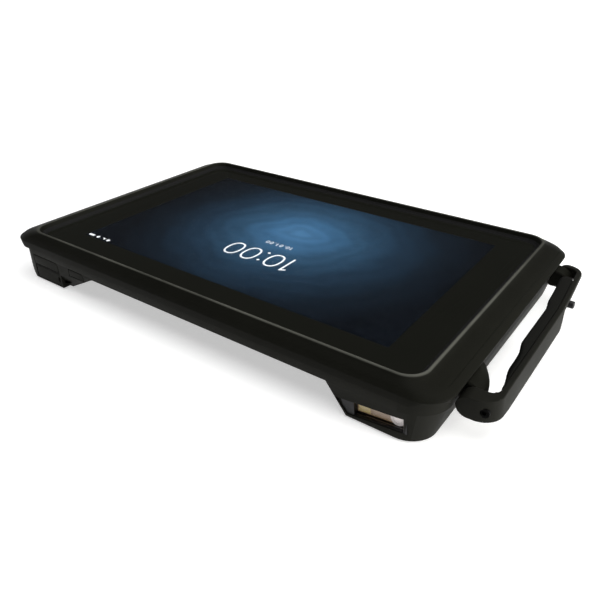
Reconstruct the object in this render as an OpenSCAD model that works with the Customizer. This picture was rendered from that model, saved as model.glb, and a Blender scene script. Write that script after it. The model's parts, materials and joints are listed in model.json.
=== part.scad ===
// Rugged tablet data collector: a slab tablet in a bumper frame, with two ridges on its underside
// that hold a battery and a barcode scanner, and a swing handle on its right-hand short side.
// Millimetres. +X runs towards the handle, -Y is the side with the keys and the scanner, +Z is
// out of the screen. Z is zero on the surface that it rests on. Sizes called half are half widths
// from the middle of the tablet, and place() then puts the middle of the whole object's box at X = 0.

/* [Tablet] */
// Length of the bumper frame along X
body_l = 239.6; // [232:0.1:300]
// Width of the bumper frame along Y
body_w = 153.6; // [148:0.1:190]
// Plan radius of the housing's outer corners
corner_r = 15; // [13:0.5:18]
// Plan radius of the frame's outer corners
frame_r = 10.5; // [9:0.5:13]
// How far the frame's short sides stand out over their own skirt
brow = 1.2; // [0:0.1:1.4]
// Depth from the top of the cover glass to the flat middle of the underside
slab_t = 9; // [8.6:0.1:11]
// Height of the frame's rim above the cover glass
rim_h = 3.3; // [2.4:0.1:4.5]
// How far the frame's skirt hangs below the top of the cover glass
skirt_h = 5.2; // [4.8:0.1:6]
// Thickness of the frame's skirt
skirt_t = 2.9; // [2.4:0.1:3.2]
// Width of the rim's sloping face on the short sides
slope_x = 9.2; // [6:0.1:11]
// Width of the rim's sloping face on the long sides
slope_y = 4.2; // [3:0.1:6]
// Width of the rim's crest and inner slope together
crest_w = 2.8; // [2.2:0.1:3.6]
// How far the skirt is cut up at each corner
corner_cut = 3.4; // [2:0.1:4]

/* [Screen] */
// Active area of the display along X
screen_l = 178.8; // [150:0.1:190]
// Active area of the display along Y
screen_w = 111.7; // [90:0.1:118]
// Offset of the active area towards +Y
screen_off = 0.9; // [0:0.1:2]
// Width of glass hidden under the frame's lip
glass_lap = 2; // [1.4:0.1:2.4]
// Thickness of the cover glass
glass_t = 1.1; // [0.8:0.1:1.4]
// Thickness of the printed bezel film
film_t = 0.3; // [0.2:0.1:0.4]
// Thickness of the display panel
panel_t = 1.6; // [1.2:0.1:1.8]
// Thickness of the display's steel tray
tray_t = 0.6; // [0.4:0.1:0.8]
// Border of the panel round the active area
panel_border = 3.4; // [2:0.1:4]
// Front camera and light sensor: distance from the active area's left edge
camera_inset = 24.6; // [12:0.1:30]
sensor_inset = 42; // [36:0.1:60]

/* [Housing] */
// How far the two ridges hang below the flat middle
ridge_h = 12.2; // [11.6:0.1:15]
// Wall of the housing's sides
wall_t = 2; // [1.6:0.1:2.4]
// Wall of the ridges
ridge_wall = 1.8; // [1.5:0.1:2.2]
// Floor of the flat middle
floor_t = 1.6; // [1.4:0.1:2]
// Thickness of the magnesium chassis
chassis_t = 1; // [0.8:0.1:1.2]
// Rubber feet: how far they stand proud
foot_proud = 0.8; // [0.5:0.1:1.5]
// Rubber feet: length along Y and width along X
foot_l = 26; // [16:1:32]
foot_w = 8; // [6:0.5:10]
// Length of a ridge's sloping far end
ridge_run = 10; // [6:0.5:14]
// Distance from the far side to where a ridge's slope ends
ridge_stop = 7; // [6:0.5:12]

/* [Keys and battery] */
// Power key: length and height
power_l = 19.6; // [14:0.1:22]
power_h = 4.8; // [4:0.1:5]
// Program key: length and height
program_l = 11; // [8:0.1:12]
program_h = 3.4; // [2.6:0.1:3.6]
// Travel of the keys
key_travel = 0.6; // [0.3:0.1:0.8]
// Battery door: length and height
door_l = 19.4; // [16:0.1:20]
door_h = 6.4; // [5.6:0.1:6.8]
// Battery door: thickness
door_t = 1.8; // [1.4:0.1:2]
// Removable battery: length along Y
pack_l = 112; // [80:1:120]

/* [Scanner] */
// Window: length and height
window_l = 20; // [16:0.1:21]
window_h = 5.9; // [5:0.1:6.2]
// Upward tilt of the window towards +X
window_tilt = 5.5; // [0:0.5:7]
// Depth of the scan engine
engine_d = 12; // [9:0.5:16]
// Radius of the scan lens
scan_lens_r = 2.9; // [2:0.1:3]

/* [Handle] */
// Length of the handle between its two arms' outer faces
handle_l = 123.8; // [108:0.1:126]
// Distance from the frame's near side to the handle's near arm
handle_inset = 14.3; // [13:0.1:16]
// Height of the handle's bar
handle_h = 9; // [7:0.1:9]
// Distance from the frame's side to the hinge axis
hinge_out = 4.6; // [4.5:0.1:6]
// Reach of the bar's outer face beyond the hinge axis
handle_reach = 10; // [9.5:0.1:14]
// Thickness of the handle's outer band
band_t = 2.6; // [2:0.1:3]
// Length of the near arm and of the near lug along Y
arm_l = 7.2; // [6:0.1:9]
lug_l = 12.6; // [8:0.1:14]
// Far arm and far lug along Y
far_arm_l = 3; // [2.4:0.1:4]
far_lug_l = 8; // [6:0.1:9]
// Radius of the hinge pins
pin_r = 1.5; // [1.2:0.1:1.8]
// Radius of the release knob and its travel
knob_r = 1.7; // [1.4:0.1:2]
knob_travel = 1; // [0.5:0.1:1.2]

/* [Mounting] */
// Threaded inserts in the underside: spacing both ways, and hole radius
insert_pitch = 75; // [75:1:100]
insert_r = 1.65; // [1.25:0.05:2.1]

/* [Hidden] */

// Clearances
slip = 0.2;          // between the frame and what it goes over
key_gap = 0.3;       // round keys and the door
run = 0.05;          // radial, on pins
face_gap = 0.4;      // between faces that slide past each other

// Levels
z_ridge = foot_proud;
z_under = z_ridge + ridge_h;
z_glass = z_under + slab_t;
z_crest = z_glass + rim_h;
z_skirt = z_glass - skirt_h;
z_ledge = z_skirt - 0.15;
z_film = z_glass - glass_t;
z_panel = z_film - film_t;
z_tray = z_panel - panel_t;
z_chassis = z_tray - tray_t;          // top of the chassis plate
z_bay = z_under + floor_t;            // floor of the bay
bay_h = z_chassis - chassis_t - z_bay;
z_bay_top = z_bay + bay_h;
gasket_t = 0.3;
z_lip = z_glass + gasket_t;
z_shoulder = z_glass - 1.4;           // where the frame's upright side starts to lean in

// Outlines, as half widths
hx = body_l / 2;
hy = body_w / 2;
crest_hx = hx - slope_x;
crest_hy = hy - slope_y;
crest_r = corner_r - slope_y - 1.8;
lip_hx = crest_hx - crest_w;
lip_hy = crest_hy - crest_w;
lip_r = crest_r - 1.8;
lip_flare = crest_w - 1.1;
glass_hx = lip_hx + glass_lap - 1.2;
glass_hy = lip_hy + glass_lap - 1.2;
cavity_hx = hx - skirt_t;
cavity_hy = hy - skirt_t;
cavity_r = corner_r - skirt_t;
inner_hx = cavity_hx - slip;
inner_hy = cavity_hy - slip;
side_hx = hx - 0.6;                   // the housing's visible side
side_hy = hy - 0.6;
side_r = corner_r - 0.6;
face_y = -side_hy;                    // the housing's near face
bay_hx = inner_hx - wall_t;
bay_hy = inner_hy - wall_t;
bay_r = cavity_r - slip - wall_t;

// Left ridge, measured in from the left side
left_side = -side_hx;
left_foot0 = left_side + 12;          // outer edge of its foot
left_foot1 = left_side + 37.7;        // inner edge of its foot
left_top = left_side + 59.2;          // where its inner slope meets the flat middle
// Right ridge, measured in from the right side
right_side = side_hx;
right_draft = 3.4;
right_foot0 = right_side - 34.6;
right_top = right_side - 46.6;
flat_mid = (left_top + right_top) / 2;
ridge_far = side_hy - ridge_stop;

// Keys and door, on the near face of the left ridge
key_front = face_y - 0.05;
key_back = key_front + 2.1;
door_x1 = left_side + 33.6;           // the door's free edge
door_x0 = door_x1 - door_l;
door_z0 = z_ridge + 0.9;
door_z1 = door_z0 + door_h;
door_axis_x = door_x0 + door_t / 2;
door_axis_y = face_y + door_t / 2;
power_x0 = door_x1 - power_l;
power_z1 = z_under + 0.8;
power_z0 = power_z1 - power_h;
program_x0 = left_side + 42.8;
program_z1 = power_z1 - 0.2;
program_z0 = program_z1 - program_h;
membrane_y = key_back + key_travel + 0.3;
pack_w = door_l - 1;
pack_h = door_h - 0.6;
pack_x0 = (door_x0 + door_x1) / 2 - pack_w / 2;
pack_y0 = face_y + door_t + 2.2;
seal_y = face_y + door_t + 0.1;

// Scanner, in its own frame: u along the window, v into the housing, w up
scan_x = right_side - 21.6;
scan_z = z_ridge + 5.4;
wall_v = 0.8;                         // depth of the wall in front of the bezel
bezel_v = 1.7;                        // thickness of the bezel
glass_v = 0.8;                        // thickness of the window
engine_v = wall_v + bezel_v + glass_v + 0.5;
lens_u = window_l / 2 - 3.4;
led_u = -window_l / 2 + 3;

// Handle
hinge_x = hx + hinge_out;
hinge_z = z_glass - 7.5;
out_x = hinge_x + handle_reach;
arm_y0 = -hy + handle_inset;
arm_y1 = arm_y0 + arm_l;
far_y1 = arm_y0 + handle_l;
far_y0 = far_y1 - far_arm_l;
lug_y0 = arm_y1 + face_gap;
lug_y1 = lug_y0 + lug_l;
far_lug_y1 = far_y0 - face_gap;
far_lug_y0 = far_lug_y1 - far_lug_l;
lug_r = 3.3;
barrel_r = hinge_out - 0.2;
bend_y = far_y1 - 46.4;               // where the band starts to lean in
lean = 2;                             // how far it leans in by the far corner
near_bend_r = 8;
far_bend_r = 7.6;
tip_r = 3.1;
tip_y = far_lug_y0 - 1.2 - tip_r;
tip_lean = lean * (tip_y - bend_y) / (far_y1 - far_bend_r - bend_y);
tip_x = out_x - band_t - tip_lean - 0.05 - tip_r;
grip_w = 3.3;
grip_z0 = hinge_z - handle_h / 2 + 0.3;
grip_z1 = hinge_z + handle_h / 2 - 0.3;
screw_x = out_x - band_t - grip_w / 2;
knob_y = bend_y + 15;
knob_z = hinge_z + 0.6;
knob_x1 = out_x + 1.3;                // the knob's outer end
knob_x0 = knob_x1 - 3.6;

// Case screws: shaft and head, and where they are
screw_r = 1;
head_r = 1.9;
screw_ys = [-inner_hy + 7.7, inner_hy - 7.7];
screw_xs = [flat_mid - 56, flat_mid, flat_mid + 56];
insert_wall = 1.2;
insert_l = floor_t + 1;

// The whole object's box runs from the frame's left side to the knob
origin_x = (knob_x1 - hx - brow) / 2;
round_fn = 48;

module place() {
    translate([-origin_x, 0, 0]) children();
}

// Rounded rectangle from half widths and a corner radius
module rounded(half_x, half_y, r) {
    square([2 * half_x, 2 * (half_y - r)], center = true);
    square([2 * (half_x - r), 2 * half_y], center = true);
    for (x = [-1, 1], y = [-1, 1])
        translate([x * (half_x - r), y * (half_y - r)])
            circle(r = r, $fn = round_fn);
}

module slab(half_x, half_y, r, z0, z1) {
    translate([0, 0, z0])
        linear_extrude(z1 - z0)
            rounded(half_x, half_y, r);
}

// Box from its lowest and highest corners
module block(a, b) {
    translate(a) cube(b - a);
}

// Outline drawn in X and Z, carried along Y from y0 to y1
module along_y(y0, y1) {
    translate([0, y1, 0])
        rotate([90, 0, 0])
            linear_extrude(y1 - y0)
                children();
}

// Round bar along Y
module rod_y(x, z, r, y0, y1) {
    translate([x, y0, z])
        rotate([-90, 0, 0])
            cylinder(r = r, h = y1 - y0, $fn = 40);
}

// Points of an arc
function arc(x, y, r, a0, a1, n = 10) =
    [for (i = [0 : n]) [x + r * cos(a0 + (a1 - a0) * i / n), y + r * sin(a0 + (a1 - a0) * i / n)]];

// ---- frame and glass ----

module frame_lug(y0, y1) {
    rod_y(hinge_x, hinge_z, lug_r, y0, y1);
    block([side_hx + slip, y0, hinge_z - lug_r], [hinge_x, y1, hinge_z + lug_r]);
    block([cavity_hx, y0, z_skirt], [hinge_x - 1.5, y1, hinge_z + lug_r + 1]);
}

module bumper_frame() color([0.10, 0.10, 0.08]) place() difference() {
    union() {
        difference() {
            hull() {
                slab(hx, hy, frame_r, z_skirt, z_shoulder);
                slab(hx + brow, hy, frame_r, z_shoulder - 1, z_shoulder);
                slab(hx - 0.9, hy - 0.7, frame_r - 0.7, z_glass - 0.2, z_glass);
                slab(crest_hx, crest_hy, crest_r, z_crest - 0.6, z_crest);
            }
            hull() {
                slab(lip_hx, lip_hy, lip_r, z_lip - 0.1, z_lip);
                slab(lip_hx + lip_flare, lip_hy + lip_flare, lip_r + lip_flare, z_crest, z_crest + 0.1);
            }
            slab(cavity_hx, cavity_hy, cavity_r, z_skirt - 1, z_lip);
            corner_arches();
        }
        frame_lug(lug_y0, lug_y1);
        frame_lug(far_lug_y0, far_lug_y1);
    }
    rod_y(hinge_x, hinge_z, pin_r + run, lug_y0 - 1, lug_y1 - 4.8);
    rod_y(hinge_x, hinge_z, pin_r + run, far_lug_y0 + 2, far_lug_y1 + 1);
}

// An arch under each corner, where the skirt is cut up
module corner_arches() {
    arch_r = 16;
    for (x = [-1, 1], y = [-1, 1])
        translate([x * (hx - corner_r), y * (hy - corner_r), z_skirt + corner_cut - arch_r])
            rotate([0, 0, atan2(y, x)])
                rotate([0, 90, 0])
                    cylinder(r = arch_r, h = 2 * corner_r, $fn = 96);
}

module glass_gasket() color([0.02, 0.02, 0.02]) place() difference() {
    slab(lip_hx + 1.2, lip_hy + 1.2, lip_r + 1.2, z_glass, z_lip);
    slab(lip_hx - 0.9, lip_hy - 0.9, lip_r - 0.9, z_glass - 1, z_lip + 1);
}

module cover_glass() color([0.05, 0.06, 0.08]) place()
    slab(glass_hx, glass_hy, lip_r, z_film, z_glass);

module bezel_film() color([0.01, 0.01, 0.01]) place() difference() {
    slab(glass_hx - 0.3, glass_hy - 0.3, lip_r, z_panel, z_film);
    translate([0, screen_off, 0])
        block([-screen_l / 2, -screen_w / 2, z_panel - 1], [screen_l / 2, screen_w / 2, z_film + 1]);
}

module screen_plate(grow, z0, z1) {
    translate([0, screen_off, 0])
        block([-screen_l / 2 - grow, -screen_w / 2 - grow, z0], [screen_l / 2 + grow, screen_w / 2 + grow, z1]);
}

module display_panel() color([0.05, 0.18, 0.32]) place()
    screen_plate(panel_border, z_tray, z_panel);

module display_tray() color([0.6, 0.6, 0.62]) place()
    screen_plate(panel_border, z_chassis, z_tray);

module border_place(x) {
    translate([-screen_l / 2 + x, -(glass_hy + screen_w / 2) / 2, z_panel]) children();
}

module front_camera() color([0.03, 0.03, 0.05]) place()
    border_place(camera_inset) translate([0, 0, -1.4]) cylinder(r = 1.5, h = 1.4, $fn = 32);

module light_sensor() color([0.12, 0.12, 0.1]) place()
    border_place(sensor_inset) translate([0, 0, -1.2]) cylinder(r = 1.1, h = 1.2, $fn = 32);

// ---- housing ----

// Thin plate at one level, spanning x0 to x1 and rounded to the tablet's near and far corners
module foot_plate(x0, x1, z, near_r) {
    translate([0, 0, z])
        linear_extrude(0.1)
            hull() {
                translate([x1 - near_r, face_y + near_r + 0.3])
                    circle(r = near_r, $fn = round_fn);
                translate([x0, face_y + 0.3]) square([1, 1]);
                translate([x0, ridge_far - ridge_run]) square([x1 - x0, 0.1]);
            }
}

module left_ridge() intersection() {
    along_y(face_y, ridge_far)
        polygon([
            [left_side, z_ledge], [left_side, z_under + 3], [left_side + 2.7, z_under - 2],
            [left_foot0, z_ridge], [left_foot1, z_ridge], [left_top, z_under - 0.6],
            [left_top + 1.6, z_under], [left_top + 1.6, z_ledge]
        ]);
    slab(side_hx, side_hy, side_r, 0, z_glass);
}

module right_ridge() hull() {
    foot_plate(right_foot0, right_side - right_draft, z_ridge, 11);
    intersection() {
        slab(side_hx, side_hy, side_r, z_ledge - 0.1, z_ledge);
        block([right_top, face_y, 0], [side_hx, ridge_far, z_glass]);
    }
}

// The sloping far end of the ridges
module ridge_ends() {
    translate([-hx, ridge_far, z_under])
        rotate([-atan2(ridge_run, ridge_h), 0, 0])
            translate([0, 0, -2 * ridge_h])
                cube([body_l, 3 * ridge_h, 2 * ridge_h]);
}

module ridge_cavities() intersection() {
    union() {
        along_y(face_y + ridge_wall, ridge_far - ridge_wall - ridge_run)
            polygon([
                [left_side + 4.6, z_bay + 0.1], [left_foot0 + 1.6, z_ridge + ridge_wall],
                [left_foot1 - 1, z_ridge + ridge_wall], [left_top - 3, z_bay + 0.1]
            ]);
        along_y(face_y + wall_v, ridge_far - ridge_wall - ridge_run)
            polygon([
                [right_top + 3, z_bay + 0.1], [right_foot0 + 1.6, z_ridge + ridge_wall],
                [right_side - right_draft - 2.4, z_ridge + ridge_wall], [right_side - 4, z_bay + 0.1]
            ]);
    }
    slab(bay_hx, side_hy - wall_v, bay_r, 0, z_glass);
}

// The dark facet under the program key
module near_facet() {
    translate([door_x1 + 1, face_y, door_z1])
        rotate([0, -6, 0])
            rotate([27, 0, 0])
                translate([0, -20, -20])
                    cube([30, 20, 20]);
}

module key_slot(x0, x1, z0, z1, grow) {
    along_y(face_y - 1, key_back + key_travel + 0.1)
        key_outline(x0 - grow, x1 + grow, z0 - grow, z1 + grow);
}

// A key's outline, with a large radius at its upper right corner
module key_outline(x0, x1, z0, z1) {
    r = 2.4;
    polygon(concat([[x0, z1], [x0, z0], [x1, z0]], arc(x1 - r, z1 - r, r, 0, 90)));
}

module scan_place() {
    translate([scan_x, face_y, scan_z])
        rotate([0, -window_tilt, 0])
            children();
}

// The mouth in the near face, in the scanner's frame; its left side follows the ridge's slope
module scan_mouth() {
    u = window_l / 2 + 0.4;
    w = window_h / 2 + 0.15;
    along_y(-2, wall_v + 0.1)
        polygon([[-u - 7.4, w], [-u - 2.4, -w], [u, -w], [u, w]]);
}

module screw_posts() {
    for (x = screw_xs, y = screw_ys)
        translate([x, y, z_bay - 0.1])
            cylinder(r = 3, h = bay_h + 0.1, $fn = 32);
}

module screw_holes() {
    for (x = screw_xs, y = screw_ys) translate([x, y, 0]) {
        translate([0, 0, z_under - 1]) cylinder(r = screw_r + 0.1, h = slab_t, $fn = 32);
        translate([0, 0, z_under - 1]) cylinder(r = head_r + 0.2, h = 2.3, $fn = 32);
    }
}

module insert_places() {
    for (x = [-1, 1], y = [-1, 1])
        translate([flat_mid + x * insert_pitch / 2, y * insert_pitch / 2, z_under])
            children();
}

module foot_places() {
    left_mid = (left_foot0 + left_foot1) / 2;
    right_mid = (right_foot0 + right_side - right_draft) / 2;
    for (x = [left_mid, right_mid], y = [face_y + 27, ridge_far - ridge_run - 22])
        translate([x, y, 0])
            children();
}

module foot_outline() {
    square([foot_w, foot_l - foot_w], center = true);
    for (y = [-1, 1])
        translate([0, y * (foot_l - foot_w) / 2])
            circle(d = foot_w, $fn = 40);
}

module speaker_holes() {
    for (x = [left_foot0 + 12, right_foot0 + 14], i = [-2 : 2], j = [0, 1])
        translate([x + 2.4 * i, ridge_far - ridge_run - 4.6 + 2.4 * j, z_ridge - 1])
            cylinder(r = 0.6, h = ridge_wall + 2, $fn = 20);
}

module rear_housing() color([0.17, 0.17, 0.14]) place() difference() {
    union() {
        slab(side_hx, side_hy, side_r, z_under, z_ledge);
        slab(inner_hx, inner_hy, cavity_r - slip, z_ledge - 0.1, z_film - 0.2);
        difference() {
            union() {
                left_ridge();
                right_ridge();
            }
            ridge_ends();
        }
    }
    difference() {
        slab(bay_hx, bay_hy, bay_r, z_bay, z_glass);
        screw_posts();
        insert_places() cylinder(r = insert_r + 2 * insert_wall, h = insert_l + 0.2, $fn = 32);
    }
    ridge_cavities();
    near_facet();
    screw_holes();
    speaker_holes();
    insert_places()
        translate([0, 0, -1])
            cylinder(r = insert_r + insert_wall, h = insert_l + 1, $fn = 40);
    foot_places() translate([0, 0, -1]) linear_extrude(2 * foot_proud + 1) foot_outline();
    key_slot(power_x0, door_x1, power_z0, power_z1, key_gap);
    key_slot(program_x0, program_x0 + program_l, program_z0, program_z1, key_gap);
    block([door_x0 - key_gap, face_y - 1, door_z0 - key_gap], [door_x1 + key_gap, face_y + 3, door_z1 + key_gap]);
    translate([door_axis_x, door_axis_y, z_ridge + 0.3])
        cylinder(r = 0.5 + run, h = door_h + 1.2, $fn = 24);
    behind_keys(key_back, membrane_y + 2.1, 0);
    scan_place() {
        scan_mouth();
        along_y(wall_v, engine_v - 0.3) bezel_outline(0.1);
    }
    camera_place() translate([0, 0, -1]) cylinder(r = camera_r + 0.1, h = floor_t + 2, $fn = 40);
    flash_place() translate([0, 0, -1]) cylinder(r = 1.7, h = floor_t + 2, $fn = 32);
    block([-dock_l / 2 - 0.1, side_hy - 3, dock_z0], [dock_l / 2 + 0.1, side_hy + 1, dock_z1]);
}

module rubber_feet() color([0.05, 0.05, 0.05]) place()
    foot_places() linear_extrude(2 * foot_proud) foot_outline();

module mount_inserts() color([0.78, 0.62, 0.3]) place()
    insert_places() difference() {
        cylinder(r = insert_r + insert_wall, h = insert_l, $fn = 40);
        translate([0, 0, -1]) cylinder(r = insert_r, h = insert_l + 2, $fn = 40);
    }

module case_screws() color([0.3, 0.3, 0.3]) place()
    for (x = screw_xs, y = screw_ys) translate([x, y, z_under]) difference() {
        union() {
            translate([0, 0, 0.3]) cylinder(r = head_r, h = 1, $fn = 32);
            translate([0, 0, 1]) cylinder(r = screw_r, h = floor_t + bay_h - 0.2, $fn = 32);
        }
        cylinder(r = 0.8, h = 0.9, $fn = 6);
    }

// ---- inside ----

module mid_chassis() color([0.55, 0.56, 0.58]) place() difference() {
    union() {
        slab(bay_hx - 0.2, bay_hy - 0.2, bay_r, z_bay_top, z_chassis);
        difference() {
            slab(glass_hx + 3, bay_hy - 0.2, bay_r, z_chassis - 0.1, z_panel);
            screen_plate(panel_border + 0.3, z_chassis - 1, z_glass);
        }
    }
    for (x = screw_xs, y = screw_ys)
        translate([x, y, z_bay_top - 1])
            cylinder(r = screw_r + run, h = slab_t, $fn = 32);
    for (x = [camera_inset, sensor_inset])
        border_place(x) translate([0, 0, -1.6]) cylinder(r = 1.7, h = 3, $fn = 32);
}

board_y0 = screw_ys[0] + 4;
board_y1 = board_y0 + 33;
board_z = z_bay_top - 0.3 - 0.8;
module main_board() color([0.05, 0.25, 0.15]) place() difference() {
    block([flat_mid - 62, board_y0, board_z], [flat_mid + 62, board_y1, board_z + 0.8]);
    insert_places() translate([0, 0, -1]) cylinder(r = insert_r + 2 * insert_wall + 0.4, h = slab_t, $fn = 32);
    camera_place() translate([0, 0, -1]) cylinder(r = 6.2, h = slab_t, $fn = 32);
    flash_place() translate([0, 0, -1]) cylinder(r = 2.2, h = slab_t, $fn = 32);
}

module processor_shield() color([0.65, 0.65, 0.66]) place()
    block([flat_mid - 24, board_y0 + 3, z_bay + 0.1], [flat_mid + 16, board_y1 - 4, board_z]);

module heat_spreader() color([0.25, 0.25, 0.27]) place()
    block([flat_mid - 30, board_y0 + 1, board_z + 0.8], [flat_mid + 30, board_y1, z_bay_top]);

battery_y1 = screw_ys[1] - 4;
module main_battery() color([0.15, 0.15, 0.17]) place()
    block([flat_mid - 33, board_y1 + 2, z_bay], [flat_mid + 33, battery_y1, z_bay_top - 0.2]);

module vibration_motor() color([0.7, 0.7, 0.7]) place()
    translate([flat_mid + 48, battery_y1 - 8, z_bay])
        cylinder(r = 4, h = bay_h - 0.3, $fn = 40);

antenna_x = bay_hx - 28;
module antennas() color([0.75, 0.6, 0.35]) place()
    for (x = [-1, 1])
        block([x * antenna_x - 18, bay_hy - 8, z_bay], [x * antenna_x + 18, bay_hy - 1, z_bay + 0.6]);

module speakers() color([0.2, 0.2, 0.2]) place()
    for (x = [left_foot0 + 12, right_foot0 + 14])
        block([x - 8, ridge_far - ridge_run - 12, z_ridge + ridge_wall],
              [x + 8, ridge_far - ridge_run - 2, z_ridge + ridge_wall + 4]);

camera_r = 4;
module camera_place() {
    translate([flat_mid - 44, board_y0 + 7, z_under]) children();
}

module flash_place() {
    translate([flat_mid - 33, board_y0 + 7, z_under]) children();
}

module camera_window() color([0.03, 0.03, 0.04]) place()
    camera_place() translate([0, 0, 0.3]) cylinder(r = camera_r, h = 0.8, $fn = 40);

module rear_camera() color([0.08, 0.08, 0.09]) place() camera_place() {
    translate([0, 0, 1.2]) cylinder(r = 3, h = floor_t, $fn = 40);
    translate([-4.2, -4.2, floor_t + 0.1]) cube([8.4, 8.4, bay_h - 0.3]);
}

module flash_led() color([0.95, 0.93, 0.8]) place()
    flash_place() translate([0, 0, 0.3]) cylinder(r = 1.6, h = floor_t + 1, $fn = 32);

dock_l = 34;
dock_z0 = z_under + 0.9;
dock_z1 = z_ledge - 0.5;
dock_face = side_hy - 0.6;
contact_pitch = 2.8;
module dock_connector() color([0.04, 0.04, 0.04]) place() difference() {
    block([-dock_l / 2, dock_face - 2.2, dock_z0], [dock_l / 2, dock_face, dock_z1]);
    for (i = [-5 : 5])
        block([i * contact_pitch - 0.7, dock_face - 0.6, dock_z0 + 0.3], [i * contact_pitch + 0.7, side_hy, dock_z1 - 0.3]);
}

module dock_contacts() color([0.85, 0.68, 0.3]) place()
    for (i = [-5 : 5])
        block([i * contact_pitch - 0.6, dock_face - 0.6, dock_z0 + 0.4], [i * contact_pitch + 0.6, dock_face - 0.1, dock_z1 - 0.4]);

// ---- battery, door and keys ----

module battery_pack() color([0.12, 0.12, 0.12]) place()
    block([pack_x0, pack_y0, z_ridge + ridge_wall], [pack_x0 + pack_w, pack_y0 + pack_l, z_ridge + ridge_wall + pack_h]);

module battery_contacts() color([0.8, 0.65, 0.3]) place()
    for (i = [-1 : 1])
        translate([pack_x0 + pack_w / 2 + 4 * i, pack_y0 + pack_l, z_ridge + ridge_wall])
            cube([1.6, 1.2, pack_h - 1]);

module battery_door() color([0.17, 0.17, 0.14]) place() difference() {
    union() {
        block([door_axis_x, face_y, door_z0], [door_x1, face_y + door_t, door_z1]);
        translate([door_axis_x, door_axis_y, door_z0]) cylinder(r = door_t / 2, h = door_h, $fn = 40);
    }
    translate([door_axis_x, door_axis_y, door_z0 - 1]) cylinder(r = 0.5 + run, h = door_h + 2, $fn = 24);
    block([door_x1 - 1.4, face_y - 1, door_z0 + 2], [door_x1 + 1, face_y + 0.7, door_z1 - 2]);
}

module door_pin() color([0.7, 0.7, 0.7]) place()
    translate([door_axis_x, door_axis_y, z_ridge + 0.35])
        cylinder(r = 0.5, h = door_h + 1.1, $fn = 24);

module door_seal() color([0.5, 0.15, 0.1]) place() difference() {
    block([pack_x0 + 0.8, seal_y, door_z0 + 1.2], [pack_x0 + pack_w, seal_y + 0.9, door_z1 - 0.4]);
    block([pack_x0 + 1.8, seal_y - 1, door_z0 + 2.2], [pack_x0 + pack_w - 1, seal_y + 2, door_z1 - 1.4]);
}

module power_key() color([0.17, 0.17, 0.14]) place()
    along_y(key_front, key_back) key_outline(power_x0, door_x1, power_z0, power_z1);

module program_key() color([0.17, 0.17, 0.14]) place()
    along_y(key_front, key_back) key_outline(program_x0, program_x0 + program_l, program_z0, program_z1);

// What sits behind both keys, from y0 to y1, shrunk inside its pocket
module behind_keys(y0, y1, gap) {
    block([power_x0 + 2 + gap, y0, program_z0 + gap], [program_x0 + program_l - gap, y1, z_bay + 0.6 - gap]);
}

module key_membrane() color([0.08, 0.08, 0.08]) place()
    behind_keys(membrane_y, membrane_y + 0.5, 0.1);

module key_switch_board() color([0.05, 0.25, 0.15]) place() {
    behind_keys(membrane_y + 1.3, membrane_y + 2, 0.1);
    for (x = [power_x0 + power_l / 2, program_x0 + program_l / 2])
        rod_y(x, (program_z0 + program_z1) / 2, 1.3, membrane_y + 0.5, membrane_y + 1.4);
}

// ---- scanner ----

module bezel_outline(grow) {
    u = window_l / 2 + 1.3 + grow;
    w = window_h / 2 + 0.5 + grow;
    polygon([[-u - 4.4, w], [-u - 2.6, -w], [u, -w], [u, w]]);
}

module scan_bezel() color([0.04, 0.04, 0.04]) place() scan_place() difference() {
    along_y(wall_v, wall_v + bezel_v) bezel_outline(0);
    block([-window_l / 2, wall_v - 1, -window_h / 2], [window_l / 2, wall_v + 4, window_h / 2]);
}

module scan_window() color([0.5, 0.45, 0.45, 0.4]) place() scan_place()
    block([-window_l / 2 - 0.6, wall_v + bezel_v, -window_h / 2 - 0.3],
          [window_l / 2 + 0.6, wall_v + bezel_v + glass_v, window_h / 2 + 0.4]);

module scan_engine() color([0.25, 0.18, 0.15]) place() scan_place() difference() {
    block([-window_l / 2, engine_v, -window_h / 2 + 0.4], [window_l / 2, engine_v + engine_d, window_h / 2 + 2]);
    translate([lens_u, engine_v - 1, 0]) rotate([-90, 0, 0]) cylinder(r = scan_lens_r + run, h = 3, $fn = 40);
    block([led_u - 2.5, engine_v - 1, -2.1], [led_u + 2.5, engine_v + 0.6, 2.1]);
}

module scan_lens() color([0.8, 0.8, 0.8]) place() scan_place()
    translate([lens_u, engine_v - 0.3, 0])
        rotate([-90, 0, 0])
            cylinder(r = scan_lens_r, h = 2.2, $fn = 40);

module aimer_led() color([0.85, 0.65, 0.2]) place() scan_place()
    block([led_u - 2.4, engine_v - 0.2, -2], [led_u + 2.4, engine_v + 0.6, 2]);

module scan_board() color([0.05, 0.25, 0.15]) place() scan_place()
    block([-window_l / 2, engine_v + engine_d, -window_h / 2 + 0.6],
          [window_l / 2, engine_v + engine_d + 0.8, window_h / 2 + 2]);

// ---- handle ----

// Outer line of the handle in plan, from the near arm round to the far arm
function handle_outer(inset) = concat(
    [[hinge_x, arm_y0 + inset]],
    arc(out_x - near_bend_r, arm_y0 + near_bend_r, near_bend_r - inset, -90, 0, 12),
    [[out_x - inset, bend_y]],
    arc(out_x - lean - far_bend_r, far_y1 - far_bend_r, far_bend_r - inset, 0, 90, 14),
    [[hinge_x, far_y1 - inset]]
);

module handle_band() {
    difference() {
        polygon(handle_outer(0));
        translate([hinge_x - 1, arm_y1]) square([out_x - band_t - grip_w - hinge_x + 1, far_y0 - arm_y1]);
        polygon(concat(
            [[hinge_x - 1, arm_y1], [out_x - band_t, arm_y1], [out_x - band_t, bend_y]],
            arc(out_x - lean - far_bend_r, far_y1 - far_bend_r, far_bend_r - band_t, 0, 70, 10),
            [[out_x - lean - far_bend_r + 1, far_y0], [hinge_x - 1, far_y0]]
        ));
    }
}

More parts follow.
